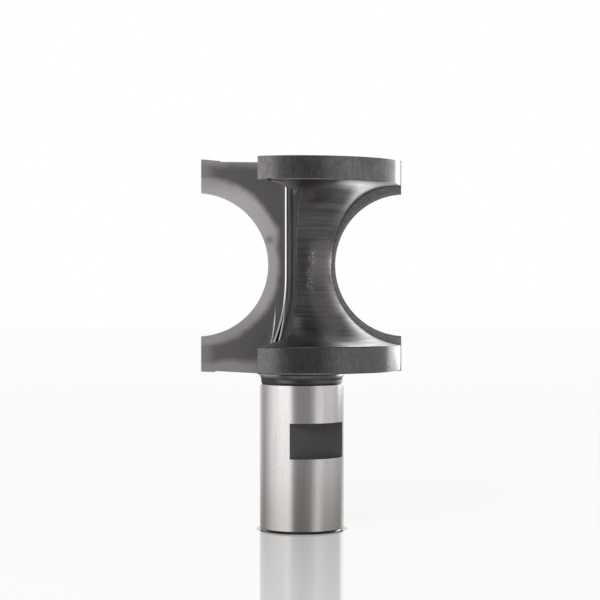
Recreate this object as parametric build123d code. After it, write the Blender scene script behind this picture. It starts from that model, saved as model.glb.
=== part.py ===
"""Half-round router bit: a steel body turned in one piece with its shank, and two brazed carbide tips.

Sizes are in millimetres. +Z points from the shank's end to the free end, and the origin is the centre
of the shank's end face, on which the bit stands. The right-hand cutting edge lies at +X, the left-hand
one at -X, and the tooth that carries the right-hand edge fills the front, which is the -Y side.
"""

import os
from math import asin, atan2, cos, radians, sin, sqrt

from build123d import *

# Shank, ground to size, with a clamping flat milled into it
shank_diameter = 20.0
shank_length = 34.5
shank_end_chamfer = 0.4
shank_top_chamfer = 0.3
flat_height = 8.35
flat_depth = 3.0
flat_centre_height = 21.55
flat_direction = 67.8
flat_corner_radius = 0.7

# Neck between the shank and the cutting head, with the grinding wheel's undercut at its foot
neck_diameter = 19.4
neck_length = 2.6
neck_fillet = 1.5
undercut_width = 0.6
undercut_depth = 0.35

# Cutting head as it leaves the lathe: two rims with the hollow groove between them
rim_diameter = 47.0
lower_rim_height = 6.07
groove_opening = 37.75
upper_rim_height = 5.8
waist_diameter = 14.9
waist_height = 18.65
upper_flank_radius = 24.4
upper_corner_radius = 13.2
underside_rise = 0.73
rim_edge_break = 0.2
top_fall = 0.4

# Profile that the carbide cuts
cutting_diameter = 48.0
cutting_radius = 17.0
cutting_waist_diameter = 16.0
cutting_centre_height = 19.0
rake_offset = 0.6

# Carbide tips
tip_count = 2
tip_thickness = 2.4
tip_waist_width = 2.3
tip_inner_radius = 29.0
tip_top_overhang = 0.55
tip_top_dish = 0.35
tip_bottom_overhang = 0.28
tip_bottom_dish = 0.15
land_relief = 0.49
groove_relief = 0.5
waist_relief = 0.85
end_relief = 0.3

# Gullets, milled with a disc cutter that runs out above the shank
web_thickness = 4.7
gullet_fillet = 1.4
run_out_radius = 42.5
run_out_drop = 2.75
tooth_span = 121.8
tooth_back_angle = 28.8
cutter_overrun = 8.0

# Levels that follow from the sizes above
shank_radius = shank_diameter / 2
neck_radius = neck_diameter / 2
rim_radius = rim_diameter / 2
cutting_tip_radius = cutting_diameter / 2
underside_level = shank_length + neck_length
lower_rim_bottom = underside_level + underside_rise
lower_rim_top = lower_rim_bottom + lower_rim_height
waist_level = lower_rim_top + waist_height
cutting_centre = lower_rim_top + cutting_centre_height
upper_rim_bottom = lower_rim_top + groove_opening
head_top = upper_rim_bottom + upper_rim_height
seat_depth = rake_offset + tip_thickness
outside = rim_radius + cutter_overrun


def neck_outline():
    """Undercut, neck and the fillet that carries the neck out to the head's underside."""
    foot = shank_length + undercut_width
    shoulder = neck_radius + neck_fillet
    return [
        Line((shank_radius - shank_top_chamfer, shank_length), (neck_radius - undercut_depth, shank_length)),
        Line((neck_radius - undercut_depth, shank_length), (neck_radius, foot)),
        Line((neck_radius, foot), (neck_radius, underside_level - neck_fillet)),
        RadiusArc(
            (neck_radius, underside_level - neck_fillet),
            (shoulder, underside_level),
            neck_fillet,
        ),
        Line((shoulder, underside_level), (rim_radius, lower_rim_bottom)),
    ]


def turned_groove():
    """Hollow between the rims: one arc below the waist, and a wide and a tight one above it."""
    waist = waist_diameter / 2
    reach = rim_radius - waist
    lower_radius = (waist_height**2 + reach**2) / (2 * reach)
    lower_centre = waist + lower_radius
    upper_centre = waist + upper_flank_radius
    corner_level = upper_rim_bottom - upper_corner_radius
    between = upper_flank_radius - upper_corner_radius
    corner_centre = upper_centre - sqrt(between**2 - (corner_level - waist_level) ** 2)
    turn = atan2(corner_level - waist_level, corner_centre - upper_centre)
    low = radians(180) + asin(waist_height / lower_radius) / 2
    high = (radians(180) + turn) / 2
    meet = (upper_centre + upper_flank_radius * cos(turn), waist_level + upper_flank_radius * sin(turn))
    corner = (turn + radians(90)) / 2
    path = [
        Line((outside, lower_rim_top), (rim_radius, lower_rim_top)),
        ThreePointArc(
            (rim_radius, lower_rim_top),
            (lower_centre + lower_radius * cos(low), waist_level + lower_radius * sin(low)),
            (waist, waist_level),
        ),
        ThreePointArc(
            (waist, waist_level),
            (upper_centre + upper_flank_radius * cos(high), waist_level + upper_flank_radius * sin(high)),
            meet,
        ),
        ThreePointArc(
            meet,
            (
                corner_centre + upper_corner_radius * cos(corner),
                corner_level + upper_corner_radius * sin(corner),
            ),
            (corner_centre, upper_rim_bottom),
        ),
        Line((corner_centre, upper_rim_bottom), (outside, upper_rim_bottom)),
        Line((outside, upper_rim_bottom), (outside, lower_rim_top)),
    ]
    return revolve(Plane.XZ * make_face(Curve() + path), Axis.Z)


def top_slope():
    """Wedge above the front tooth: its top falls away slightly behind the cutting edge."""
    fall = top_fall * outside / rim_radius
    above = head_top + cutter_overrun
    section = Polyline((0, head_top), (-outside, head_top - fall), (-outside, above), (0, above), close=True)
    return extrude(Plane.YZ * make_face(section), outside, both=True)


def turned_blank():
    """Shank, neck and head as one solid of revolution, with the rims' edges broken."""
    outline = [
        Line((0, 0), (shank_radius - shank_end_chamfer, 0)),
        Line((shank_radius - shank_end_chamfer, 0), (shank_radius, shank_end_chamfer)),
        Line((shank_radius, shank_end_chamfer), (shank_radius, shank_length - shank_top_chamfer)),
        Line(
            (shank_radius, shank_length - shank_top_chamfer),
            (shank_radius - shank_top_chamfer, shank_length),
        ),
        *neck_outline(),
        Line((rim_radius, lower_rim_bottom), (rim_radius, head_top)),
        Line((rim_radius, head_top), (0, head_top)),
        Line((0, head_top), (0, 0)),
    ]
    blank = revolve(Plane.XZ * make_face(Curve() + outline), Axis.Z) - turned_groove()
    corners = [
        edge
        for edge in blank.edges().filter_by(GeomType.CIRCLE)
        if abs(edge.radius - rim_radius) < 1e-4 and edge.center().Z < head_top - rim_edge_break
    ]
    return chamfer(corners, rim_edge_break)


def clamping_flat():
    """Block that mills the flat, with rounded corners where the end mill turned."""
    chord_plane = Plane(
        origin=(0, 0, flat_centre_height),
        x_dir=(sin(radians(flat_direction)), cos(radians(flat_direction)), 0),
        z_dir=(cos(radians(flat_direction)), -sin(radians(flat_direction)), 0),
    )
    window = RectangleRounded(2 * shank_radius, flat_height, flat_corner_radius)
    return extrude(chord_plane.offset(shank_radius - flat_depth) * window, flat_depth + cutter_overrun)


def gullet_outline():
    """Front view of one gullet: the side wall of the web, which leaves in the disc cutter's own arc."""
    wall = -web_thickness / 2
    run_out_start = waist_level - run_out_drop
    arc_centre = wall - run_out_radius
    drop = sqrt(run_out_radius**2 - (-outside - arc_centre) ** 2)
    middle = atan2(-drop, -outside - arc_centre) / 2
    path = [
        Line((wall, head_top + cutter_overrun), (wall, run_out_start)),
        ThreePointArc(
            (wall, run_out_start),
            (arc_centre + run_out_radius * cos(middle), run_out_start + run_out_radius * sin(middle)),
            (-outside, run_out_start - drop),
        ),
        Line((-outside, run_out_start - drop), (-outside, head_top + cutter_overrun)),
        Line((-outside, head_top + cutter_overrun), (wall, head_top + cutter_overrun)),
    ]
    return make_face(Curve() + path)


def tooth_back():
    """Prism in front of the gullet: what stays of the tooth behind its sloping back face."""
    heel = (-rim_radius * cos(radians(180 - tooth_span)), -rim_radius * sin(radians(180 - tooth_span)))
    along = (cos(radians(tooth_back_angle)), sin(radians(tooth_back_angle)))
    reach = 2 * outside
    inner = (heel[0] + reach * along[0], heel[1] + reach * along[1])
    outer = (heel[0] - reach * along[0], heel[1] - reach * along[1])
    section = Polyline(inner, outer, (outer[0], outer[1] - reach), (inner[0], outer[1] - reach), close=True)
    return extrude(make_face(section), head_top + 2 * cutter_overrun)


def gullet():
    """Space that the disc cutter clears in front of the left-hand edge, with its rounded corner."""
    face_plane = Plane(origin=(0, rake_offset, 0), x_dir=(1, 0, 0), z_dir=(0, -1, 0))
    space = extrude(face_plane * gullet_outline(), outside + rake_offset)
    corner = [
        edge
        for edge in space.edges()
        if abs(edge.center().Y - rake_offset) < 1e-4
        and edge.bounding_box().max.X < -web_thickness / 2 + 1e-4
        and edge.bounding_box().min.Z < waist_level
        and edge.bounding_box().max.X > -outside + 1e-4
    ]
    return fillet(corner, gullet_fillet) - tooth_back()


def inner_edge():
    """Inner edge of the left-hand tip in the front view: its arc, and how far it stands in at a level."""
    arc_centre = cutting_waist_diameter / 2 - tip_waist_width + tip_inner_radius

    def place(level):
        return -(arc_centre - sqrt(tip_inner_radius**2 - (level - cutting_centre) ** 2))

    def arc(bottom, top):
        return ThreePointArc((place(bottom), bottom), (place(cutting_centre), cutting_centre), (place(top), top))

    return place, arc


def tip_outline(setback):
    """Outline of the left-hand tip: its cutting profile, drawn in by the relief share at the back."""
    land = cutting_tip_radius - land_relief * setback
    waist = cutting_waist_diameter / 2 - waist_relief * setback
    half_opening = (
        sqrt(cutting_radius**2 - (cutting_waist_diameter / 2 + cutting_radius - cutting_tip_radius) ** 2)
        + groove_relief * setback
    )
    top = head_top + tip_top_overhang - end_relief * setback
    bottom = lower_rim_bottom - tip_bottom_overhang + end_relief * setback
    top_inner = top - tip_top_dish
    bottom_inner = bottom - tip_bottom_dish
    place, arc = inner_edge()
    return make_face(
        Curve()
        + [
            Line((-land, bottom), (place(bottom_inner), bottom_inner)),
            arc(bottom_inner, top_inner),
            Line((place(top_inner), top_inner), (-land, top)),
            Line((-land, top), (-land, cutting_centre + half_opening)),
            ThreePointArc(
                (-land, cutting_centre + half_opening),
                (-waist, cutting_centre),
                (-land, cutting_centre - half_opening),
            ),
            Line((-land, cutting_centre - half_opening), (-land, bottom)),
        ]
    )


def carbide_tip():
    """Left-hand tip: the cutting profile on its rake face, drawn in all round towards its seat."""
    front = Plane(origin=(0, rake_offset, 0), x_dir=(1, 0, 0), z_dir=(0, -1, 0))
    back = Plane(origin=(0, seat_depth, 0), x_dir=(1, 0, 0), z_dir=(0, -1, 0))
    return loft([front * tip_outline(0), back * tip_outline(1)], ruled=True)


def tip_seat():
    """Recess that the tip is brazed into: its inner edge as a shoulder, open towards the outside."""
    place, arc = inner_edge()
    top = head_top + tip_top_overhang
    bottom = lower_rim_bottom - tip_bottom_overhang - tip_bottom_dish
    outline = [
        arc(bottom, top),
        Line((place(top), top), (-outside, top)),
        Line((-outside, top), (-outside, bottom)),
        Line((-outside, bottom), (place(bottom), bottom)),
    ]
    front = Plane(origin=(0, rake_offset, 0), x_dir=(1, 0, 0), z_dir=(0, -1, 0))
    return extrude(front * make_face(Curve() + outline), -tip_thickness)


def cutter_body():
    """Blank with the flat, the gullets, the tips' seats and the falling tops cut into it."""
    body = turned_blank() - clamping_flat()
    for cut in (gullet(), tip_seat(), top_slope()):
        for index in range(tip_count):
            body -= Rot(0, 0, index * 360 / tip_count) * cut
    return body


def write(shape, node):
    """Writes one node's solid to its own file."""
    export_step(shape, os.path.join("parts", node + ".step"))


os.makedirs("parts", exist_ok=True)
write(cutter_body(), "cutter_body")
for index in range(tip_count):
    write(Rot(0, 0, index * 360 / tip_count) * carbide_tip(), f"carbide_tip_{index + 1}")
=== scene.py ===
# %% [markdown]
# # A half-round router bit in a small studio
#
# The bit is one turned steel body with two carbide tips brazed into it. All three shapes come ready
# made from the CAD frame, so this script is about surfaces and light: how turned, milled and ground
# steel differ, and how a metal is lit when it shows nothing but what stands around it.

from math import asin, cos, pi, radians, sin

import bpy
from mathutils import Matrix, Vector


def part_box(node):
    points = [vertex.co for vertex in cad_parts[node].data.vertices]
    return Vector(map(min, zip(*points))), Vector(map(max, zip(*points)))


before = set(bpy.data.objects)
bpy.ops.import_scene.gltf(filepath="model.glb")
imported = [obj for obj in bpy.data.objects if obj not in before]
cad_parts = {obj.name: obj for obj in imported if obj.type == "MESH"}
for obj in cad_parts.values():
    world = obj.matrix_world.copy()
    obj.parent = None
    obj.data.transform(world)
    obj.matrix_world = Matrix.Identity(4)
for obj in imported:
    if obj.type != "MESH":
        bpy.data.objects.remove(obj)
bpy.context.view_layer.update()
MM = 0.001
print("nodes:", sorted(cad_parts))

# %% [markdown]
# ## Sizes that the finishes follow
#
# A pattern on metal is only believable where the tool could have left it. So the places where one
# finish ends and the next begins are read from the same levels as the construction: the end of the
# shank, the two rims, the wall of each gullet and the flat on the shank.

# %% Levels and radii in metres
SHANK_RADIUS = 10.0 * MM
SHANK_TOP = 34.5 * MM
END_CHAMFER, TOP_CHAMFER = 0.4 * MM, 0.3 * MM
FLAT_BOTTOM, FLAT_TOP = 17.375 * MM, 25.725 * MM
RIM_RADIUS = 23.5 * MM
RIM_EDGE = 0.23 * MM  # a rim's broken edge and a hair more
HEAD_BOTTOM = 37.1 * MM
LOWER_RIM_BOTTOM, LOWER_RIM_TOP = 37.83 * MM, 43.9 * MM
UPPER_RIM_BOTTOM = 81.65 * MM
WAIST_LEVEL = 62.55 * MM
PROFILE_CENTRE = (-25.0 * MM, 62.9 * MM)
PROFILE_RADIUS = 17.0 * MM
RAKE_OFFSET = 0.6 * MM
WEB_HALF = 2.35 * MM
TIP_THICKNESS = 2.4 * MM
RUN_OUT_RADIUS = 42.5 * MM
RUN_OUT_LEVEL = WAIST_LEVEL - 2.75 * MM
HEAD_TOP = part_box("cutter_body")[1][2]
print("body is", round(HEAD_TOP / MM, 2), "mm high")

# %% Tones
GROUND_METAL = 0.5  # how metallic a matt ground face looks
FILM_COLOUR = (0.44, 0.4, 0.405, 1.0)
FOOT_COLOUR = (0.74, 0.69, 0.65, 1.0)
STAIN_COLOUR = (0.2, 0.13, 0.12, 1.0)


def grey(level, warmth=0.045):
    """A metal's grey with a slight warm cast, as bare steel and carbide have."""
    return (level * (1 + warmth), level, level * (1 - 0.2 * warmth), 1.0)


# %% [markdown]
# ## A few words for building shaders
#
# Long node trees are easier to read as sums and products. These helpers add a node or two each and return
# the output, so a mask such as "inside this radius and above this level" is written almost as it is said.


# %% Shader helpers
class Shader:
    """One material's node tree, with short names for the nodes that the finishes use."""

    def __init__(self, name):
        self.material = bpy.data.materials.new(name)
        self.material.use_nodes = True
        self.tree = self.material.node_tree
        self.surface = self.tree.nodes["Principled BSDF"]
        self.place = self.node("ShaderNodeTexCoord").outputs["Object"]
        axes = self.node("ShaderNodeSeparateXYZ", Vector=self.place)
        self.x, self.y, self.z = axes.outputs

    def node(self, kind, **inputs):
        made = self.tree.nodes.new(kind)
        for name, value in inputs.items():
            self.feed(made.inputs[name.replace("_", " ")], value)
        return made

    def feed(self, socket, value):
        if isinstance(value, bpy.types.NodeSocket):
            self.tree.links.new(value, socket)
        else:
            socket.default_value = value

    def math(self, operation, first, second=0.0, third=0.0):
        made = self.tree.nodes.new("ShaderNodeMath")
        made.operation = operation
        for socket, value in zip(made.inputs, (first, second, third)):
            self.feed(socket, value)
        return made.outputs[0]

    def step(self, value, start, end):
        """Rises smoothly from 0 at start to 1 at end; falls where start is above end."""
        made = self.tree.nodes.new("ShaderNodeMapRange")
        made.interpolation_type = "SMOOTHSTEP"
        low, high, order = (start, end, (0.0, 1.0)) if start < end else (end, start, (1.0, 0.0))
        self.feed(made.inputs["Value"], value)
        made.inputs["From Min"].default_value = low
        made.inputs["From Max"].default_value = high
        made.inputs["To Min"].default_value, made.inputs["To Max"].default_value = order
        return made.outputs["Result"]

    def all_of(self, *masks):
        total = masks[0]
        for mask in masks[1:]:
            total = self.math("MULTIPLY", total, mask)
        return total

    def any_of(self, *masks):
        largest = masks[0]
        for mask in masks[1:]:
            largest = self.math("MAXIMUM", largest, mask)
        return largest

    def squares(self, first, second):
        return self.math("ADD", self.math("POWER", first, 2.0), self.math("POWER", second, 2.0))

    def between(self, value, low, high, blur):
        rising = self.step(value, low - blur, low + blur)
        falling = self.step(value, high + blur, high - blur)
        return self.all_of(rising, falling)

    def stretched(self, scale):
        """Object coordinates multiplied along each axis, for grain that runs one way."""
        return self.node("ShaderNodeMapping", Vector=self.place, Scale=scale).outputs[0]

    def noise(self, scale, detail=2.0, where=None, roughness=0.5):
        made = self.node("ShaderNodeTexNoise", Scale=scale, Detail=detail, Roughness=roughness)
        self.feed(made.inputs["Vector"], self.place if where is None else where)
        return made.outputs["Fac"]

    def mix(self, share, first, second):
        """Colour or grey value between first and second."""
        made = self.tree.nodes.new("ShaderNodeMix")
        made.data_type = "RGBA"
        self.feed(made.inputs["Factor"], share)
        for index, value in ((6, first), (7, second)):
            self.feed(made.inputs[index], grey(value) if isinstance(value, float) else value)
        return made.outputs[2]

    def mix_value(self, share, first, second):
        made = self.tree.nodes.new("ShaderNodeMix")
        self.feed(made.inputs["Factor"], share)
        self.feed(made.inputs[2], first)
        self.feed(made.inputs[3], second)
        return made.outputs[0]


def wheel_ground(shader, side, depth):
    """Where the diamond wheel left the rake face matt: along the cutting arc and round the outer edges."""
    aside = shader.math("SUBTRACT", side, PROFILE_CENTRE[0])
    above = shader.math("SUBTRACT", shader.z, PROFILE_CENTRE[1])
    reach = shader.math("SQRT", shader.squares(aside, above))
    waver = shader.math("MULTIPLY_ADD", shader.noise(170.0, 3.0), 2.4 * MM, -1.2 * MM)
    from_arc = shader.math("ADD", shader.math("SUBTRACT", reach, PROFILE_RADIUS), waver)
    from_arc = shader.math("MULTIPLY_ADD", shader.step(shader.z, 72 * MM, 66 * MM), 1.3 * MM, from_arc)
    from_arc = shader.math("MULTIPLY_ADD", shader.step(shader.z, 52 * MM, 46 * MM), 0.4 * MM, from_arc)
    along_arc = shader.step(from_arc, 5.0 * MM, 3.0 * MM)
    level = shader.math("ADD", shader.z, waver)
    at_top = shader.math("MULTIPLY", shader.step(level, 85.4 * MM, 87.8 * MM), 0.75)
    at_bottom = shader.math("MULTIPLY", shader.step(level, 41.2 * MM, 38.8 * MM), 0.8)
    at_end = shader.math("MULTIPLY", shader.step(side, -20.0 * MM, -23.2 * MM), 0.5)
    off_face = shader.math("ABSOLUTE", shader.math("SUBTRACT", depth, RAKE_OFFSET))
    on_face = shader.step(off_face, 0.06 * MM, 0.03 * MM)
    return shader.any_of(along_arc, at_top, at_bottom, at_end), on_face


def rake_finish(shader, side, depth):
    """Colour and roughness of the ground rake face, which runs over carbide and steel without a break."""
    ground, on_face = wheel_ground(shader, side, depth)
    fine = shader.noise(3200.0, 4.0, None, 0.7)
    wheel = shader.noise(1.0, 3.0, shader.stretched((1500.0, 1500.0, 260.0)), 0.6)
    bloom = shader.noise(210.0, 3.0)
    bright = shader.mix(shader.step(fine, 0.25, 0.8), grey(0.6, 0.06), grey(0.73, 0.06))
    bright = shader.mix(shader.math("MULTIPLY", shader.step(wheel, 0.5, 0.8), 0.25), bright, grey(0.68))
    bright = shader.mix(shader.math("MULTIPLY", shader.step(bloom, 0.5, 0.75), 0.25), bright, grey(0.43))
    low_arm = shader.math("MULTIPLY", shader.step(shader.z, 54 * MM, 46 * MM), 0.58)
    high_arm = shader.math("MULTIPLY", shader.step(shader.z, 78 * MM, 84 * MM), 0.5)
    bright = shader.mix(shader.any_of(low_arm, high_arm), bright, grey(0.3))
    dull = shader.mix(shader.step(fine, 0.3, 0.75), 0.15, 0.2)
    rough = shader.mix_value(ground, 0.38, shader.mix_value(fine, 0.5, 0.62))
    return shader.mix(ground, dull, bright), rough, on_face


# %% [markdown]
# ## Steel body
#
# One bar carries several finishes. The shank is ground bright. The groove and the rims are turned and
# left darker and satin, with the lathe's fine rings. The gullets are milled, so their marks run along the
# bit instead of around it. Their floor was ground once more together with the carbide, and the corner of
# each gullet carries painted highlights and painted shade. The flat on the shank stays black. Each
# finish is a mask on the piece's own coordinates.

# %% Masks of the steel body
steel = Shader("turned_and_ground_steel")
across = steel.math("SQRT", steel.squares(steel.x, steel.y))
on_shank = steel.step(steel.z, SHANK_TOP + 0.03 * MM, SHANK_TOP - 0.02 * MM)
in_flat = steel.all_of(
    steel.step(across, SHANK_RADIUS - 0.04 * MM, SHANK_RADIUS - 0.06 * MM),
    steel.between(steel.z, FLAT_BOTTOM - 0.05 * MM, FLAT_TOP + 0.05 * MM, 0.01 * MM),
)
on_rim = steel.step(across, RIM_RADIUS - 0.3 * MM, RIM_RADIUS - 0.1 * MM)

# %% [markdown]
# The mesh of a cylinder is a row of flat strips, and where its seam runs the shading shows a fine upright
# line that no turned bar has. On the shank and the two rims the true normal is known: it points straight
# away from the axis. So it is worked out from the coordinates and used there instead of the mesh's own.

# %% Normal of the turned cylinders
shank_side = steel.all_of(
    steel.between(across, SHANK_RADIUS - 0.04 * MM, SHANK_RADIUS + 0.04 * MM, 0.01 * MM),
    steel.between(steel.z, END_CHAMFER + 0.03 * MM, SHANK_TOP - TOP_CHAMFER - 0.03 * MM, 0.01 * MM),
)
top_chamfer = steel.all_of(
    steel.between(across, SHANK_RADIUS - TOP_CHAMFER - 0.03 * MM, SHANK_RADIUS, 0.02 * MM),
    steel.between(steel.z, SHANK_TOP - TOP_CHAMFER - 0.08 * MM, SHANK_TOP, 0.02 * MM),
)
rim_heights = steel.any_of(
    steel.between(steel.z, LOWER_RIM_BOTTOM + RIM_EDGE, LOWER_RIM_TOP - RIM_EDGE, 0.01 * MM),
    steel.between(steel.z, UPPER_RIM_BOTTOM + RIM_EDGE, HEAD_TOP - 0.45 * MM, 0.01 * MM),
)
rim_side = steel.all_of(steel.step(across, RIM_RADIUS - 0.04 * MM, RIM_RADIUS - 0.03 * MM), rim_heights)
on_cylinder = steel.any_of(shank_side, top_chamfer, rim_side)
outward = steel.node("ShaderNodeCombineXYZ", X=steel.x, Y=steel.y, Z=0.0)
outward_unit = steel.node("ShaderNodeVectorMath", Vector=outward.outputs[0])
outward_unit.operation = "NORMALIZE"
own_normal = steel.node("ShaderNodeNewGeometry").outputs["Normal"]
true_normal = steel.tree.nodes.new("ShaderNodeMix")
true_normal.data_type = "VECTOR"
steel.feed(true_normal.inputs["Factor"], on_cylinder)
steel.feed(true_normal.inputs[4], own_normal)
steel.feed(true_normal.inputs[5], outward_unit.outputs[0])

# %% [markdown]
# The two gullets are one cut made twice, half a turn apart. So their masks are written once, for the
# left-hand gullet: where x is positive, x and y both change sign, which turns the right-hand gullet onto
# the left-hand one. `from_wall` is then the distance from the gullet's wall, which bends away below the
# run-out level because the disc cutter left the steel on its own arc.

# %% Distance from the gullet's wall, for both gullets at once
right_side = steel.math("GREATER_THAN", steel.x, 0.0)
turn = steel.math("MULTIPLY_ADD", right_side, -2.0, 1.0)
folded_x = steel.math("MULTIPLY", steel.x, turn)
folded_y = steel.math("MULTIPLY", steel.y, turn)
below = steel.math("MAXIMUM", steel.math("SUBTRACT", RUN_OUT_LEVEL, steel.z), 0.0)
sweep = steel.math(
    "SQRT",
    steel.math("MAXIMUM", steel.math("SUBTRACT", RUN_OUT_RADIUS**2, steel.math("POWER", below, 2.0)), 0.0),
)
wall = steel.math("ADD", sweep, -WEB_HALF - RUN_OUT_RADIUS)
from_wall = steel.math("SUBTRACT", wall, folded_x)
gullet_colour, gullet_rough, on_rake_plane = rake_finish(steel, folded_x, folded_y)
on_floor = steel.all_of(on_rake_plane, steel.step(from_wall, 1.1 * MM, 1.4 * MM))
near_floor = steel.between(folded_y, -1.6 * MM, 0.7 * MM, 0.05 * MM)
in_groove = steel.between(steel.z, LOWER_RIM_TOP - 0.3 * MM, UPPER_RIM_BOTTOM - 0.1 * MM, 0.1 * MM)

# %% [markdown]
# The corner between floor and wall shows as one thin white line. It is a painted highlight: a near-white
# colour laid along the corner. Lower down a second pass left a shallow step, so there the line is followed by
# a black one, which is painted shade, then by a second painted highlight, and near the lower rim by a third.
# A line this thin only lights up if its surface leans towards the light, so a little ramp is added to the
# height that the bump reads.

# %% Painted highlights and painted shade in the corner of each gullet
SECOND_PASS = 56.5 * MM


def slanted(slope, start, level):
    """Distance from the wall of a line that stands off by start at this level and leans by slope."""
    return steel.math("MULTIPLY_ADD", steel.z, slope, start - slope * level)


low_down = steel.step(steel.z, SECOND_PASS, SECOND_PASS - 3 * MM)
lowest = steel.step(steel.z, 54 * MM, 49 * MM)
# painted highlights along the corner, and painted shade between them lower down
first_painted_highlight = steel.all_of(steel.between(from_wall, 1.27 * MM, 1.6 * MM, 0.06 * MM), near_floor, in_groove)
past_second = steel.math("SUBTRACT", from_wall, slanted(0.0977, 1.5 * MM, 56.0 * MM))
at_second = steel.between(past_second, -0.16 * MM, 0.1 * MM, 0.06 * MM)
second_painted_highlight = steel.all_of(at_second, near_floor, low_down, in_groove)
painted_shade_band = steel.all_of(
    steel.step(past_second, 0.05 * MM, 0.2 * MM),
    steel.step(from_wall, 1.34 * MM, 1.24 * MM),
    near_floor,
    low_down,
)
past_third = steel.math("SUBTRACT", from_wall, slanted(0.16, 2.0 * MM, 44.0 * MM))
at_third = steel.between(past_third, -0.14 * MM, 0.1 * MM, 0.06 * MM)
third_painted_highlight = steel.all_of(at_third, near_floor, lowest, in_groove)
in_corner = steel.all_of(
    steel.between(folded_y, -1.2 * MM, 0.63 * MM, 0.05 * MM),
    steel.between(from_wall, -0.12 * MM, 1.4 * MM, 0.04 * MM),
)
on_wall = steel.all_of(
    steel.between(from_wall, -0.1 * MM, 0.3 * MM, 0.03 * MM),
    steel.step(folded_y, -0.6 * MM, -0.9 * MM),
    steel.between(steel.z, 45 * MM, 80 * MM, 1 * MM),
)
# a painted highlight along the edge where the gullet's wall meets the turned hollow, broken by streaky noise
wall_edge_painted_highlight = steel.all_of(
    steel.between(from_wall, -0.34 * MM, -0.06 * MM, 0.05 * MM),
    steel.step(folded_y, -1.3 * MM, -1.6 * MM),
    steel.between(steel.z, 49 * MM, 78 * MM, 3 * MM),
    steel.step(steel.noise(1.0, 3.0, steel.stretched((500.0, 500.0, 260.0)), 0.6), 0.42, 0.58),
)

# %% Rings of the lathe, streaks of the milling cutter and the grinder's grain
rings = steel.noise(1.0, 3.0, steel.stretched((110.0, 110.0, 3900.0)), 0.7)
facing = steel.node("ShaderNodeCombineXYZ", X=steel.math("MULTIPLY", across, 3300.0), Y=0.0, Z=0.0).outputs[0]
on_ends = steel.any_of(
    steel.step(steel.z, HEAD_TOP - 0.5 * MM, HEAD_TOP - 0.43 * MM),
    steel.step(steel.z, LOWER_RIM_BOTTOM + 0.07 * MM, LOWER_RIM_BOTTOM + 0.02 * MM),
)
rings = steel.mix_value(on_ends, rings, steel.noise(1.0, 3.0, facing, 0.65))
coarse_rings = steel.noise(1.0, 2.0, steel.stretched((25.0, 25.0, 900.0)), 0.5)
streaks = steel.noise(1.0, 3.0, steel.stretched((3800.0, 2600.0, 70.0)), 0.6)
grain = steel.noise(1.0, 2.0, steel.stretched((900.0, 900.0, 9000.0)), 0.5)
clouds = steel.noise(260.0, 4.0, None, 0.6)
specks = steel.noise(2600.0, 3.0, None, 0.7)
mottle = steel.noise(1300.0, 4.0, None, 0.65)

# %% [markdown]
# A pale film lies on the hollow side of the front tooth, from the middle of the waist to the right. Its
# left border is ragged and set with pale crumbs. The film is an ellipse with noise in its radius, and
# the crumbs are the highest grains of a finer noise, kept to a narrow strip along that border.

# %% Pale film and crumbs on the hollow back
FILM_CENTRE = Vector((4.8, 0.0, 58.3)) * MM
FILM_HALF_WIDTH, FILM_HALF_HEIGHT = 4.2 * MM, 10.8 * MM
film_x = steel.math("DIVIDE", steel.math("SUBTRACT", steel.x, FILM_CENTRE.x), FILM_HALF_WIDTH)
film_z = steel.math("DIVIDE", steel.math("SUBTRACT", steel.z, FILM_CENTRE.z), FILM_HALF_HEIGHT)
ragged = steel.math("MULTIPLY_ADD", mottle, 1.2, -0.6)
film_reach = steel.math("ADD", steel.squares(film_x, film_z), ragged)
on_hollow = steel.step(steel.y, -4.5 * MM, -5.5 * MM)
through_film = steel.mix_value(steel.step(rings, 0.4, 0.6), 0.62, 1.0)
film = steel.all_of(
    steel.step(film_reach, 1.25, 0.7), steel.step(steel.z, 47 * MM, 53 * MM), through_film, on_hollow
)
crumbs = steel.all_of(
    steel.between(film_reach, 0.45, 1.2, 0.2),
    steel.step(steel.noise(620.0, 1.0), 0.38, 0.54),
    steel.step(steel.noise(2400.0, 4.0, None, 0.75), 0.52, 0.59),
    steel.step(steel.x, 2.6 * MM, 1.8 * MM),
    steel.between(steel.z, 57.0 * MM, 67.5 * MM, 1.0 * MM),
    on_hollow,
)

# the grinder also touched the steel beside each tip's seat, in short scratches
scratches = steel.step(steel.noise(1.0, 3.0, steel.stretched((1500.0, 900.0, 1500.0)), 0.7), 0.46, 0.6)
fringe = steel.all_of(
    steel.between(folded_y, 2.9 * MM, 3.7 * MM, 0.25 * MM),
    steel.between(steel.z, 51 * MM, 80 * MM, 3 * MM),
    steel.step(folded_x, -5 * MM, -6 * MM),
    scratches,
)

# one small nick in the lower edge of the upper rim, near the heel of the front tooth
nick_z = steel.math("MULTIPLY_ADD", mottle, 1.0 * MM, steel.z)
nick = steel.all_of(
    steel.between(nick_z, 82.0 * MM, 82.45 * MM, 0.1 * MM),
    steel.between(steel.x, -10.4 * MM, -9.3 * MM, 0.15 * MM),
    steel.step(steel.y, -15 * MM, -16 * MM),
)

# %% Colour of the steel body
turned = steel.mix(steel.step(coarse_rings, 0.3, 0.75), 0.2, 0.25)
turned = steel.mix(steel.math("MULTIPLY", steel.step(rings, 0.56, 0.4), 0.3), turned, grey(0.12))
turned = steel.mix(steel.math("MULTIPLY", steel.step(rings, 0.54, 0.66), 0.18), turned, grey(0.42))
deep_rings = steel.step(steel.noise(1.0, 2.0, steel.stretched((60.0, 60.0, 2100.0)), 0.6), 0.52, 0.4)
deeper_below = steel.mix_value(steel.step(steel.z, 60 * MM, 52 * MM), 0.22, 0.5)
turned = steel.mix(steel.all_of(deep_rings, in_groove, deeper_below), turned, grey(0.06))
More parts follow.
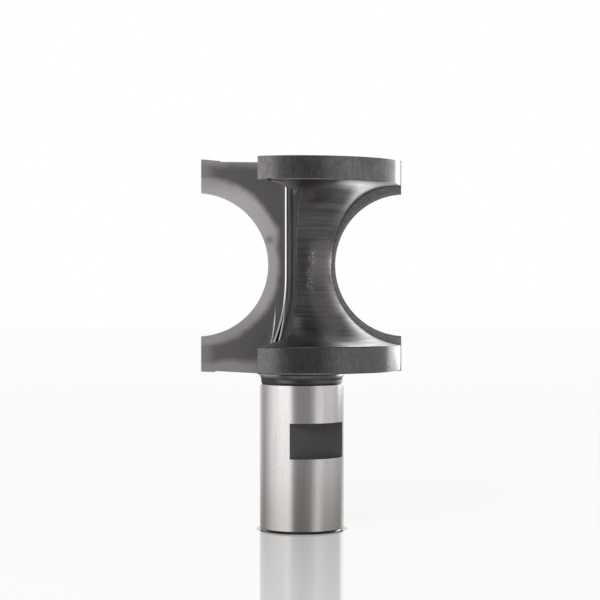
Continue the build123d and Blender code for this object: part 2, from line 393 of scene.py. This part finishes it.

# two patches of painted light on the front of the hollow, low on the flare and under the upper rim
low_front_painted_light = steel.any_of(
    steel.all_of(steel.step(steel.z, 53 * MM, 48 * MM), steel.between(steel.x, 1 * MM, 6 * MM, 3 * MM)),
    steel.all_of(steel.step(steel.z, 48.5 * MM, 46.5 * MM), steel.between(steel.x, -3 * MM, 4 * MM, 2 * MM)),
)
turned = steel.mix(steel.math("MULTIPLY", low_front_painted_light, 0.75), turned, grey(0.55))
under_rim_painted_light = steel.all_of(
    steel.step(steel.z, 76 * MM, 80 * MM), steel.step(steel.x, 5 * MM, -1 * MM), in_groove
)
turned = steel.mix(under_rim_painted_light, turned, 0.65)
turned = steel.mix(steel.math("MULTIPLY", steel.step(specks, 0.6, 0.72), 0.1), turned, grey(0.4))

rim = steel.mix(steel.step(clouds, 0.3, 0.75), 0.22, 0.3)
# the lower rim is painted darker than the upper one, a painted shade
rim = steel.mix(steel.step(steel.z, 60 * MM, 50 * MM), rim, grey(0.16))
rim = steel.mix(steel.math("MULTIPLY", steel.step(mottle, 0.5, 0.7), 0.25), rim, grey(0.4))
rim = steel.mix(steel.math("MULTIPLY", steel.step(mottle, 0.5, 0.36), 0.2), rim, grey(0.12))
upright = steel.noise(1.0, 3.0, steel.stretched((1400.0, 1400.0, 240.0)), 0.65)
rim = steel.mix(steel.math("MULTIPLY", steel.step(upright, 0.52, 0.36), 0.3), rim, grey(0.12))
rim = steel.mix(steel.all_of(steel.step(specks, 0.62, 0.74), steel.step(clouds, 0.5, 0.62)), rim, grey(0.4))

streaky = steel.all_of(steel.step(streaks, 0.45, 0.65), steel.step(from_wall, 4.4 * MM, 2.4 * MM))
gullet_colour = steel.mix(streaky, gullet_colour, grey(0.24))

brushed = steel.noise(1.0, 2.0, steel.stretched((1100.0, 1100.0, 60.0)), 0.5)
ground = steel.mix(steel.step(brushed, 0.3, 0.7), 0.73, 0.8)
ground = steel.mix(steel.math("MULTIPLY", steel.step(rings, 0.56, 0.4), 0.35), ground, grey(0.62))
ground = steel.mix(steel.math("MULTIPLY", steel.step(specks, 0.52, 0.68), 0.35), ground, grey(0.92))
ground = steel.mix(steel.math("MULTIPLY", steel.step(specks, 0.48, 0.34), 0.3), ground, grey(0.55))
ground = steel.mix(steel.math("MULTIPLY", steel.step(steel.z, 15 * MM, 3 * MM), 0.6), ground, FOOT_COLOUR)

black = steel.mix(steel.step(steel.noise(1500.0, 3.0), 0.4, 0.75), 0.075, 0.09)
# the lower part of the flat is painted lighter, painted light against the shade of its recess
black = steel.mix(steel.step(steel.z, 21.5 * MM, FLAT_BOTTOM), black, grey(0.09))
black = steel.mix(steel.step(specks, 0.7, 0.74), black, grey(0.3))

on_neck = steel.between(steel.z, SHANK_TOP - 0.02 * MM, HEAD_BOTTOM + 0.1 * MM, 0.03 * MM)
# the left end of the neck is painted darker, a painted shade
neck_painted_shade = steel.all_of(on_neck, steel.step(steel.x, -5.5 * MM, -8.0 * MM))
neck = steel.mix(steel.step(clouds, 0.3, 0.7), 0.12, 0.18)
neck = steel.mix(neck_painted_shade, neck, grey(0.045))
# the top of the neck under the head is painted lighter against the shade there, and a thin band along the
# undercut's fillet is a painted highlight
neck = steel.mix(steel.step(steel.z, 36.1 * MM, 36.5 * MM), neck, grey(0.2))
neck = steel.mix(steel.step(steel.z, 36.6 * MM, 36.8 * MM), neck, grey(0.36))

# %% Lay the finishes over one another
# the dark line at the foot is painted shade, over the chamfer and just above it, where the contact shadow
# falls
end_chamfer_painted_shade = steel.step(steel.z, END_CHAMFER + 0.18 * MM, END_CHAMFER + 0.1 * MM)
# the corner and the wall of each gullet are painted darker: painted shade in the corner
corner_painted_shade = steel.any_of(on_wall, in_corner)
painted_highlights = steel.any_of(first_painted_highlight, second_painted_highlight, third_painted_highlight)
colour = steel.mix(on_rim, turned, rim)
colour = steel.mix(nick, colour, grey(0.06))
colour = steel.mix(steel.math("MULTIPLY", film, 0.62), colour, FILM_COLOUR)
colour = steel.mix(crumbs, colour, grey(0.85))
colour = steel.mix(steel.math("MULTIPLY", wall_edge_painted_highlight, 0.7), colour, grey(0.36))
colour = steel.mix(fringe, colour, grey(0.5))
colour = steel.mix(on_floor, colour, gullet_colour)
colour = steel.mix(corner_painted_shade, colour, steel.mix(steel.step(streaks, 0.4, 0.7), 0.11, 0.22))
# painted shade in the step, then the painted highlights along the gullet's corner
colour = steel.mix(painted_shade_band, colour, grey(0.012))
colour = steel.mix(painted_highlights, colour, steel.mix(third_painted_highlight, grey(0.95, 0.0), grey(0.6, 0.0)))
colour = steel.mix(on_neck, colour, neck)
colour = steel.mix(on_shank, colour, ground)
colour = steel.mix(end_chamfer_painted_shade, colour, grey(0.03))
colour = steel.mix(in_flat, colour, black)
steel.feed(steel.surface.inputs["Base Color"], colour)

# %% Roughness and relief of the steel body
rough = steel.mix_value(steel.step(clouds, 0.3, 0.7), 0.27, 0.34)
rough = steel.mix_value(on_rim, rough, steel.mix_value(mottle, 0.17, 0.27))
behind_tip = steel.all_of(
    on_rim, steel.step(folded_y, 17 * MM, 13 * MM), steel.step(folded_x, -14 * MM, -17 * MM)
)
rough = steel.mix_value(behind_tip, rough, 0.15)
rough = steel.mix_value(on_floor, rough, gullet_rough)
rough = steel.mix_value(corner_painted_shade, rough, 0.45)
rough = steel.mix_value(steel.any_of(film, crumbs), rough, 0.46)
rough = steel.mix_value(painted_highlights, rough, 0.14)
rough = steel.mix_value(on_shank, rough, 0.155)
rough = steel.mix_value(steel.any_of(in_flat, neck_painted_shade), rough, 0.75)
steel.feed(steel.surface.inputs["Roughness"], rough)

# the black of the flat is no bare metal, and the neck's painted shade is kept matt as well
metal = steel.mix_value(in_flat, 1.0, 0.0)
metal = steel.mix_value(on_floor, metal, GROUND_METAL)
metal = steel.mix_value(painted_highlights, metal, 1.0)
metal = steel.mix_value(neck_painted_shade, metal, 0.0)
steel.feed(steel.surface.inputs["Metallic"], metal)

relief = steel.mix_value(on_rim, rings, mottle)
relief = steel.mix_value(steel.any_of(on_floor, on_wall), relief, streaks)
relief = steel.mix_value(on_shank, relief, steel.math("MULTIPLY", grain, 0.3))
relief = steel.mix_value(in_flat, relief, steel.noise(1800.0, 3.0))
texture = steel.node(
    "ShaderNodeBump", Strength=0.3, Distance=0.02 * MM, Height=relief, Normal=true_normal.outputs[1]
)
in_head = steel.step(steel.z, HEAD_BOTTOM + 0.3 * MM, HEAD_BOTTOM + 0.5 * MM)
ramps = steel.math(
    "ADD",
    steel.all_of(steel.step(from_wall, 1.66 * MM, 1.2 * MM), near_floor, in_head),
    steel.all_of(steel.step(past_third, 0.2 * MM, -0.2 * MM), near_floor, lowest, in_head),
)
lean = steel.node("ShaderNodeBump", Strength=1.0, Distance=0.19 * MM, Height=ramps, Normal=texture.outputs[0])
steel.feed(steel.surface.inputs["Normal"], lean.outputs[0])

# %% [markdown]
# ## Carbide tips
#
# Sintered carbide is lighter than the steel and scatters more, because the diamond wheel leaves a fine,
# matt face. The wheel ran over the carbide and the steel beside it in one go, so `rake_finish` makes that
# face once for both, and no line shows where they meet. One brown spot shows that the bit was used.

# %% Finish of the carbide
carbide = Shader("ground_carbide")
tip_turn = carbide.math("MULTIPLY_ADD", carbide.math("GREATER_THAN", carbide.x, 0.0), -2.0, 1.0)
tip_x = carbide.math("MULTIPLY", carbide.x, tip_turn)
tip_y = carbide.math("MULTIPLY", carbide.y, tip_turn)
rake, rake_rough, on_rake = rake_finish(carbide, tip_x, tip_y)
fine = carbide.noise(3200.0, 4.0, None, 0.7)
flank = carbide.mix(carbide.step(fine, 0.25, 0.8), 0.16, 0.26)
tip_back = RAKE_OFFSET + TIP_THICKNESS
behind = carbide.step(tip_y, tip_back - 0.08 * MM, tip_back - 0.03 * MM)
flank = carbide.mix(behind, flank, carbide.mix(carbide.step(fine, 0.35, 0.7), 0.25, 0.48))
face = carbide.mix(on_rake, flank, rake)
STAIN = Vector((-7.6, 0.6, 68.9)) * MM
stain_reach = carbide.node("ShaderNodeVectorMath", Vector=carbide.place)
stain_reach.operation = "DISTANCE"
stain_reach.inputs[1].default_value = STAIN
from_stain = carbide.math("MULTIPLY_ADD", fine, 3.0 * MM, stain_reach.outputs["Value"])
stain = carbide.step(from_stain, 2.9 * MM, 1.9 * MM)
face = carbide.mix(carbide.math("MULTIPLY", stain, 0.5), face, STAIN_COLOUR)
carbide.feed(carbide.surface.inputs["Base Color"], face)
carbide.feed(carbide.surface.inputs["Roughness"], carbide.mix_value(on_rake, 0.85, rake_rough))
carbide.surface.inputs["Metallic"].default_value = GROUND_METAL
bump = carbide.node("ShaderNodeBump", Strength=0.3, Distance=0.02 * MM, Height=fine)
carbide.feed(carbide.surface.inputs["Normal"], bump.outputs[0])

# %% Put the finishes on the CAD nodes
for name, shader in (("cutter_body", steel), ("carbide_tip_1", carbide), ("carbide_tip_2", carbide)):
    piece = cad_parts[name]
    for slot in piece.material_slots:
        slot.material = shader.material
    print(name, "wears", shader.material.name, "in", len(piece.material_slots), "slot")

# %% [markdown]
# ## Floor
#
# The bit stands on a glossy white sheet. Seen almost along the sheet, about half of what the eye gets is
# a mirror image of the shank, and from above there is nearly none. A Fresnel node gives that change.
# Where the shank stands on it, the sheet is darkened in a narrow ring, a painted shadow of the contact.

# %% Glossy white floor
FLOOR_SIZE = 6.0
FLOOR_GLOW, FLOOR_MATT = 0.735, 0.3  # light that the sheet gives by itself, and its diffuse white
CONTACT_START, CONTACT_END = SHANK_RADIUS, SHANK_RADIUS + 1.4 * MM
MIRROR_WHITE, MIRROR_INDEX, MIRROR_GAIN = 0.97, 1.75, 1.25
bpy.ops.object.select_all(action="DESELECT")
bpy.ops.mesh.primitive_plane_add(size=FLOOR_SIZE, location=(0, 0, 0))
floor = bpy.context.object
floor.name = "floor"
sheet = bpy.data.materials.new("white_sheet")
sheet.use_nodes = True
nodes, links = sheet.node_tree.nodes, sheet.node_tree.links
nodes.clear()
output = nodes.new("ShaderNodeOutputMaterial")
glow = nodes.new("ShaderNodeEmission")
glow.inputs["Color"].default_value = (1.0, 1.0, 1.0, 1.0)
floor_place = nodes.new("ShaderNodeTexCoord")
floor_distance = nodes.new("ShaderNodeVectorMath")
floor_distance.operation = "LENGTH"
links.new(floor_place.outputs["Object"], floor_distance.inputs[0])
# painted shadow of the contact: the sheet's glow and matt white fade to nothing at the shank
contact_painted_shadow = nodes.new("ShaderNodeMapRange")
contact_painted_shadow.interpolation_type = "SMOOTHSTEP"
contact_painted_shadow.inputs["From Min"].default_value = CONTACT_START
contact_painted_shadow.inputs["From Max"].default_value = CONTACT_END
contact_painted_shadow.inputs["To Min"].default_value, contact_painted_shadow.inputs["To Max"].default_value = 0.0, FLOOR_GLOW
links.new(floor_distance.outputs["Value"], contact_painted_shadow.inputs["Value"])
links.new(contact_painted_shadow.outputs["Result"], glow.inputs["Strength"])
matt = nodes.new("ShaderNodeBsdfDiffuse")
matt_level = nodes.new("ShaderNodeMath")
matt_level.operation = "MULTIPLY"
matt_level.inputs[1].default_value = FLOOR_MATT / FLOOR_GLOW
links.new(contact_painted_shadow.outputs["Result"], matt_level.inputs[0])
links.new(matt_level.outputs[0], matt.inputs["Color"])
body = nodes.new("ShaderNodeAddShader")
links.new(glow.outputs[0], body.inputs[0])
links.new(matt.outputs[0], body.inputs[1])
mirror = nodes.new("ShaderNodeBsdfGlossy")
mirror.inputs["Color"].default_value = (MIRROR_WHITE, MIRROR_WHITE, MIRROR_WHITE, 1.0)
mirror.inputs["Roughness"].default_value = 0.0
fresnel = nodes.new("ShaderNodeFresnel")
fresnel.inputs["IOR"].default_value = MIRROR_INDEX
share = nodes.new("ShaderNodeMath")
share.operation = "MULTIPLY"
share.use_clamp = True
share.inputs[1].default_value = MIRROR_GAIN
links.new(fresnel.outputs[0], share.inputs[0])
blend = nodes.new("ShaderNodeMixShader")
links.new(share.outputs[0], blend.inputs[0])
links.new(body.outputs[0], blend.inputs[1])
links.new(mirror.outputs[0], blend.inputs[2])
links.new(blend.outputs[0], output.inputs["Surface"])
floor.data.materials.append(sheet)
floor.visible_glossy = False

# %% [markdown]
# ## What the metal sees
#
# Bare metal has no colour of its own worth speaking of: a turned bar is a mirror that shows the room as
# upright bands. So the room is written down by compass bearing. Seen from the bit, the camera's side is
# dark, a wide soft light stands on the left, a weaker one on the right, and bright white paper behind. The
# levels were set until the bands on the metal were as bright as in the photograph.

# %% The room as bands by bearing, one row for each height
CAMERA_TURN = radians(6.6)
FLOOR_LEVEL = [
    (-180, 1.2), (-120, 0.6), (-60, 0.5), (-30, 0.35), (-10, 0.25), (25, 0.25), (50, 0.3), (75, 0.32),
    (90, 0.42), (105, 0.45), (125, 0.6), (140, 1.0), (154, 2.3), (167, 3.9), (180, 3.9),
]
FOOT_LEVEL = [
    (-180, 0.8), (-127, 0.25), (-107, 0.36), (-90, 0.48), (-60, 0.66), (-40, 0.7), (-31, 0.5), (-22, 0.18),
    (-8, 0.11), (8, 0.13), (22, 0.2), (33, 0.48), (43, 0.53), (54, 0.34), (66, 0.22), (90, 0.22), (131, 0.22),
    (143, 0.6), (180, 0.8),
]
SHANK_LEVEL = [
    (-180, 0.75), (-150, 0.65), (-138, 0.45), (-127, 0.4), (-107, 0.6), (-90, 0.88), (-75, 1.0),
    (-60, 1.12), (-40, 1.22), (-29, 1.05), (-20, 0.45), (-8, 0.33), (8, 0.31), (22, 0.33), (33, 0.42),
    (43, 0.82), (54, 0.9), (66, 0.76), (90, 0.66), (109, 0.52), (131, 0.4), (143, 0.42), (152, 0.5),
    (180, 0.75),
]
# both rims see the same light on the left and behind
BEHIND_LEFT = [
    (-180, 1.15), (-150, 1.0), (-138, 0.5), (-127, 0.4), (-107, 0.6), (-90, 0.88), (-75, 1.1), (-60, 1.25),
    (-45, 1.2),
]
LOW_RIM_LEVEL = [
    *BEHIND_LEFT, (-37, 1.1), (-30, 0.72), (-24, 0.28), (-8, 0.2), (8, 0.22), (22, 0.22), (33, 0.46),
    (43, 0.52), (66, 0.6), (85, 0.72), (98, 0.8), (112, 1.0), (118, 1.5), (123, 3.6), (146, 3.9), (180, 3.0),
]
HIGH_RIM_LEVEL = [
    *BEHIND_LEFT, (-37, 1.15), (-30, 0.8), (-24, 0.28), (-8, 0.18), (8, 0.17), (22, 0.2), (33, 0.38),
    (43, 0.52), (66, 0.57), (85, 0.56), (98, 0.6), (112, 0.7), (126, 0.95), (137, 1.15), (144, 3.0),
    (152, 3.4), (180, 2.8),
]
MIRROR_LEVEL = [
    (-180, 0.7), (-140, 0.5), (-120, 0.38), (-60, 0.35), (-40, 0.5), (-22, 0.3), (0, 0.2), (22, 0.22),
    (45, 0.4), (70, 0.28), (110, 0.25), (130, 0.5), (145, 1.0), (180, 1.0),
]
HIGH_LEVEL = [
    (-180, 1.2), (-90, 0.6), (-60, 0.45), (-35, 0.22), (-15, 0.15), (20, 0.15), (45, 0.14), (65, 0.16),
    (85, 0.25), (98, 0.4), (113, 0.8), (131, 1.6), (150, 2.4), (165, 3.2), (180, 3.2),
]

# %% Helpers for the world's nodes
BRIGHTEST = 4.0
world = bpy.data.worlds.new("studio")
bpy.context.scene.world = world
world.use_nodes = True
nodes, links = world.node_tree.nodes, world.node_tree.links
nodes.clear()


def world_math(operation, first, second=0.0):
    made = nodes.new("ShaderNodeMath")
    made.operation = operation
    for socket, value in zip(made.inputs, (first, second)):
        if isinstance(value, bpy.types.NodeSocket):
            links.new(value, socket)
        else:
            socket.default_value = value
    return made.outputs[0]


def bands(stops):
    """Smooth curve over the bearing through (degrees, level) stops, levels from 0 to BRIGHTEST."""
    made = nodes.new("ShaderNodeFloatCurve")
    links.new(world_math("DIVIDE", world_math("SUBTRACT", bearing, -180), 360), made.inputs["Value"])
    curve = made.mapping.curves[0]
    places = [((at + 180) / 360, level / BRIGHTEST) for at, level in stops]
    curve.points[0].location, curve.points[1].location = places[0], places[-1]
    for place in places[1:-1]:
        curve.points.new(*place)
    for point in curve.points:
        point.handle_type = "AUTO_CLAMPED"
    made.mapping.update()
    return world_math("MULTIPLY", made.outputs[0], BRIGHTEST)


direction = nodes.new("ShaderNodeTexCoord").outputs["Generated"]
axes = nodes.new("ShaderNodeSeparateXYZ")
links.new(direction, axes.inputs[0])
# bearing is 0 towards the camera and grows towards the camera's right
ahead = world_math(
    "ADD",
    world_math("MULTIPLY", axes.outputs[0], -sin(CAMERA_TURN)),
    world_math("MULTIPLY", axes.outputs[1], -cos(CAMERA_TURN)),
)
aside = world_math(
    "ADD",
    world_math("MULTIPLY", axes.outputs[0], cos(CAMERA_TURN)),
    world_math("MULTIPLY", axes.outputs[1], -sin(CAMERA_TURN)),
)
bearing = world_math("MULTIPLY", world_math("ARCTAN2", aside, ahead), 180 / pi)
height = world_math("MULTIPLY", world_math("ARCSINE", axes.outputs[2]), 180 / pi)


def rise(start, end):
    """0 below the start height in degrees and 1 above the end height."""
    made = nodes.new("ShaderNodeMapRange")
    made.interpolation_type = "SMOOTHSTEP"
    links.new(height, made.inputs["Value"])
    made.inputs["From Min"].default_value, made.inputs["From Max"].default_value = start, end
    return made.outputs["Result"]


def stack(share, lower, upper):
    """The lower level where share is 0 and the upper one where it is 1."""
    made = nodes.new("ShaderNodeMix")
    for index, value in zip((0, 2, 3), (share, lower, upper)):
        if isinstance(value, bpy.types.NodeSocket):
            links.new(value, made.inputs[index])
        else:
            made.inputs[index].default_value = value
    return made.outputs[0]


# %% Stack the rows by height, in degrees above the level
STRAIGHT_DOWN, LOW_DOWN, HIGH_UP, STRAIGHT_UP = 0.8, 0.35, 0.28, 0.9
room = stack(rise(-85, -60), STRAIGHT_DOWN, LOW_DOWN)
for start, end, row in (
    (-37, -27, FLOOR_LEVEL),
    (-24, -16, FOOT_LEVEL),
    (-8.0, -5.2, SHANK_LEVEL),
    (-2.5, -2.0, LOW_RIM_LEVEL),
    (0.5, 2.5, HIGH_RIM_LEVEL),
    (6.0, 7.5, MIRROR_LEVEL),
    (13.0, 20.0, HIGH_LEVEL),
):
    room = stack(rise(start, end), room, bands(row))
    levels = [level for at, level in row]
    print("row from", start, "degrees up has levels", min(levels), "to", max(levels))
room = stack(rise(21.0, 38.0), room, HIGH_UP)
room = stack(rise(76.0, 88.0), room, STRAIGHT_UP)

# %% [markdown]
# The camera sees clean white behind the bit, whatever the metal sees, and so does the floor, whose sharp
# mirror would otherwise show the bands. Light Path tells these apart: a ray that left a perfectly sharp
# mirror is a singular ray, while the metal is always a little rough.

# %% White for the camera, the room for everything else
path = nodes.new("ShaderNodeLightPath")
level = nodes.new("ShaderNodeMix")
seen = world_math("MAXIMUM", path.outputs["Is Camera Ray"], path.outputs["Is Singular Ray"])
links.new(seen, level.inputs["Factor"])
links.new(room, level.inputs[2])
level.inputs[3].default_value = 1.0
background = nodes.new("ShaderNodeBackground")
background.inputs["Color"].default_value = (1.0, 1.0, 1.0, 1.0)
links.new(level.outputs[0], background.inputs["Strength"])
world_output = nodes.new("ShaderNodeOutputWorld")
links.new(background.outputs[0], world_output.inputs["Surface"])

# %% [markdown]
# One large soft lamp, in front and above, lights the matt surfaces, such as the flat and the ground
# rake faces, and gives the floor a faint shadow. Polished metal isn't to mirror its disk, so the lamp is
# hidden from glossy rays.

# %% Soft lamp
LAMP_SIZE, LAMP_POWER = 0.5, 4.0
LAMP_PLACE, LAMP_AIM = Vector((-0.35, -0.6, 0.55)), Vector((0, 0, 0.05))
lamp_data = bpy.data.lights.new("soft_lamp", type="AREA")
lamp_data.shape = "DISK"
lamp_data.size = LAMP_SIZE
lamp_data.energy = LAMP_POWER
lamp = bpy.data.objects.new("soft_lamp", lamp_data)
bpy.context.collection.objects.link(lamp)
lamp.location = LAMP_PLACE
lamp.visible_glossy = False
lamp.rotation_euler = (LAMP_AIM - LAMP_PLACE).to_track_quat("-Z", "Y").to_euler()

# %% [markdown]
# ## Camera
#
# The photograph was taken level, from near the middle of the bit's height, with a long lens. The bit's
# axis sits a hair right of the middle, so the camera stands a hair to the left, and no shift is needed.

# %% Camera
IMAGE_PIXELS = 600.0
FOCUS_PIXELS = 1624.0
DISTANCE = 388.0 * MM
EYE_LEVEL = 53.85 * MM
AXIS_PIXEL, HORIZON_PIXEL = 301.74, 303.0
camera_data = bpy.data.cameras.new("camera")
camera_data.sensor_width = 36.0
camera_data.lens = FOCUS_PIXELS / IMAGE_PIXELS * camera_data.sensor_width
camera_data.clip_start = 0.01
camera = bpy.data.objects.new("camera", camera_data)
bpy.context.collection.objects.link(camera)
sight = Vector((sin(CAMERA_TURN), cos(CAMERA_TURN), 0.0))
rightward = Vector((cos(CAMERA_TURN), -sin(CAMERA_TURN), 0.0))
aside_by = (AXIS_PIXEL - IMAGE_PIXELS / 2) * DISTANCE / FOCUS_PIXELS
camera.location = -DISTANCE * sight - aside_by * rightward + Vector((0, 0, EYE_LEVEL))
pitch = asin((HORIZON_PIXEL - IMAGE_PIXELS / 2) / FOCUS_PIXELS)
camera.rotation_euler = (radians(90.0) + pitch, 0.0, -CAMERA_TURN)
bpy.context.scene.camera = camera
bpy.context.scene.view_settings.view_transform = "Standard"
